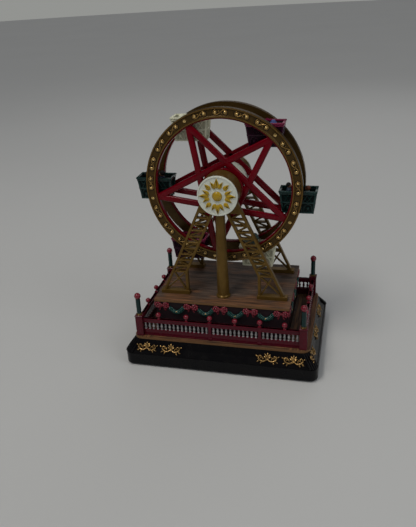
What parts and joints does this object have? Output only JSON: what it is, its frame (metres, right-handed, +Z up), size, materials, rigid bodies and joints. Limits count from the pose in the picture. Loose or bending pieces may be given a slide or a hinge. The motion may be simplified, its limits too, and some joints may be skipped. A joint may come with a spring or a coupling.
{
  "type": "hand-cranked ferris wheel toy",
  "caption": "Tabletop ferris wheel toy with six gondolas on a fenced, decked base, turned by a crank at the back through a gear train.",
  "frame": {"origin": "middle of the base, at the underside of its feet", "axes": "+Z up, -Y towards the front with the tapered column, +X to the right seen from the front"},
  "size_m": [0.1236, 0.1051, 0.159],
  "materials": {
    "black_lacquer": "gloss",
    "deck_brown": "satin",
    "frieze_dark": "satin",
    "bow_red": "gloss",
    "garland_green": "satin",
    "dark_red": "gloss",
    "silver_white": "satin",
    "antique_gold": "satin",
    "lamp_green": "gloss",
    "cream_white": "gloss",
    "brass": "satin",
    "steel": "brushed",
    "bronze": "satin",
    "star_red": "gloss",
    "gear_white": "matte",
    "foot_pad": "matte",
    "tub_green": "gloss",
    "tub_red": "gloss",
    "tub_cream": "gloss",
    "figures": "satin"
  },
  "bodies": {
    "base": {"plinth": "black_lacquer", "bottom_cover": "black_lacquer", "cover_screws": "steel", "feet": "foot_pad", "lower_deck": "deck_brown", "upper_deck": "deck_brown", "deck_riser": "frieze_dark", "frieze_bows": "bow_red", "frieze_swags": "garland_green", "front_fence": "dark_red", "rear_fence": "dark_red", "side_fences": "dark_red", "fence_balusters": "silver_white", "lamp_pedestals": "dark_red", "lamp_collars": "antique_gold", "lamp_tubes": "lamp_green", "lamp_balls": "dark_red", "front_left_leg": "antique_gold", "front_right_leg": "antique_gold", "rear_left_leg": "antique_gold", "rear_right_leg": "antique_gold", "front_column": "antique_gold", "column_collar": "antique_gold", "front_gear_housing": "antique_gold", "rear_bearing_housing": "antique_gold", "front_hub_cap": "cream_white", "rear_hub_cap": "cream_white", "hub_ornament": "antique_gold", "bearing_bushes": "brass", "movement_frame": "steel", "comb": "steel"},
    "wheel": {"axle": "steel", "front_rim": "bronze", "rear_rim": "bronze", "front_star": "star_red", "rear_star": "star_red", "hub_spool": "cream_white", "gondola_pins": "steel", "axle_gear": "gear_white"},
    "right_gondola_body": {"right_gondola": "tub_green", "right_passengers": "figures"},
    "top_right_gondola_body": {"top_right_gondola": "tub_red", "top_right_passengers": "figures"},
    "top_left_gondola_body": {"top_left_gondola": "tub_cream", "top_left_passengers": "figures"},
    "left_gondola_body": {"left_gondola": "tub_green", "left_passengers": "figures"},
    "bottom_left_gondola_body": {"bottom_left_gondola": "tub_red", "bottom_left_passengers": "figures"},
    "bottom_right_gondola_body": {"bottom_right_gondola": "tub_cream", "bottom_right_passengers": "figures"},
    "drive_shaft_body": {"drive_shaft": "steel", "drive_shaft_gears": "gear_white"},
    "crank_body": {"crank_shaft": "steel", "crank_gears": "gear_white", "crank_arm": "antique_gold"},
    "grip_body": {"crank_grip": "dark_red"},
    "music_body": {"music_cylinder": "brass"}
  },
  "joints": [
    {"name": "wheel_spin", "type": "hinge", "parent": "base", "child": "wheel", "pos_m": [0, 0, 0.111], "axis": [0, 1, 0], "continuous": true},
    {"name": "right_gondola_swing", "type": "hinge", "parent": "wheel", "child": "right_gondola_body", "pos_m": [0.04454, 0, 0.10788], "axis": [0, 1, 0], "continuous": true},
    {"name": "top_right_gondola_swing", "type": "hinge", "parent": "wheel", "child": "top_right_gondola_body", "pos_m": [0.02497, 0, 0.14802], "axis": [0, 1, 0], "continuous": true},
    {"name": "top_left_gondola_swing", "type": "hinge", "parent": "wheel", "child": "top_left_gondola_body", "pos_m": [-0.01957, 0, 0.15113], "axis": [0, 1, 0], "continuous": true},
    {"name": "left_gondola_swing", "type": "hinge", "parent": "wheel", "child": "left_gondola_body", "pos_m": [-0.04454, 0, 0.11411], "axis": [0, 1, 0], "continuous": true},
    {"name": "bottom_left_gondola_swing", "type": "hinge", "parent": "wheel", "child": "bottom_left_gondola_body", "pos_m": [-0.02497, 0, 0.07398], "axis": [0, 1, 0], "continuous": true},
    {"name": "bottom_right_gondola_swing", "type": "hinge", "parent": "wheel", "child": "bottom_right_gondola_body", "pos_m": [0.01957, 0, 0.07087], "axis": [0, 1, 0], "continuous": true},
    {"name": "drive_shaft_spin", "type": "hinge", "parent": "base", "child": "drive_shaft_body", "pos_m": [0, -0.0192, 0.07], "axis": [0, 0, 1], "continuous": true},
    {"name": "crank_spin", "type": "hinge", "parent": "base", "child": "crank_body", "pos_m": [0, 0, 0.03], "axis": [0, 1, 0], "continuous": true},
    {"name": "grip_spin", "type": "hinge", "parent": "crank_body", "child": "grip_body", "pos_m": [0, 0.055, 0.014], "axis": [0, 1, 0], "continuous": true},
    {"name": "music_spin", "type": "hinge", "parent": "base", "child": "music_body", "pos_m": [0.012, 0.01, 0.03], "axis": [0, 1, 0], "continuous": true}
  ],
  "couplings": [
    {"joint": "right_gondola_swing", "follows": "wheel_spin", "ratio": -1},
    {"joint": "top_right_gondola_swing", "follows": "wheel_spin", "ratio": -1},
    {"joint": "top_left_gondola_swing", "follows": "wheel_spin", "ratio": -1},
    {"joint": "left_gondola_swing", "follows": "wheel_spin", "ratio": -1},
    {"joint": "bottom_left_gondola_swing", "follows": "wheel_spin", "ratio": -1},
    {"joint": "bottom_right_gondola_swing", "follows": "wheel_spin", "ratio": -1},
    {"joint": "drive_shaft_spin", "follows": "wheel_spin", "ratio": 3},
    {"joint": "crank_spin", "follows": "wheel_spin", "ratio": -3},
    {"joint": "music_spin", "follows": "wheel_spin", "ratio": 1.2857}
  ]
}
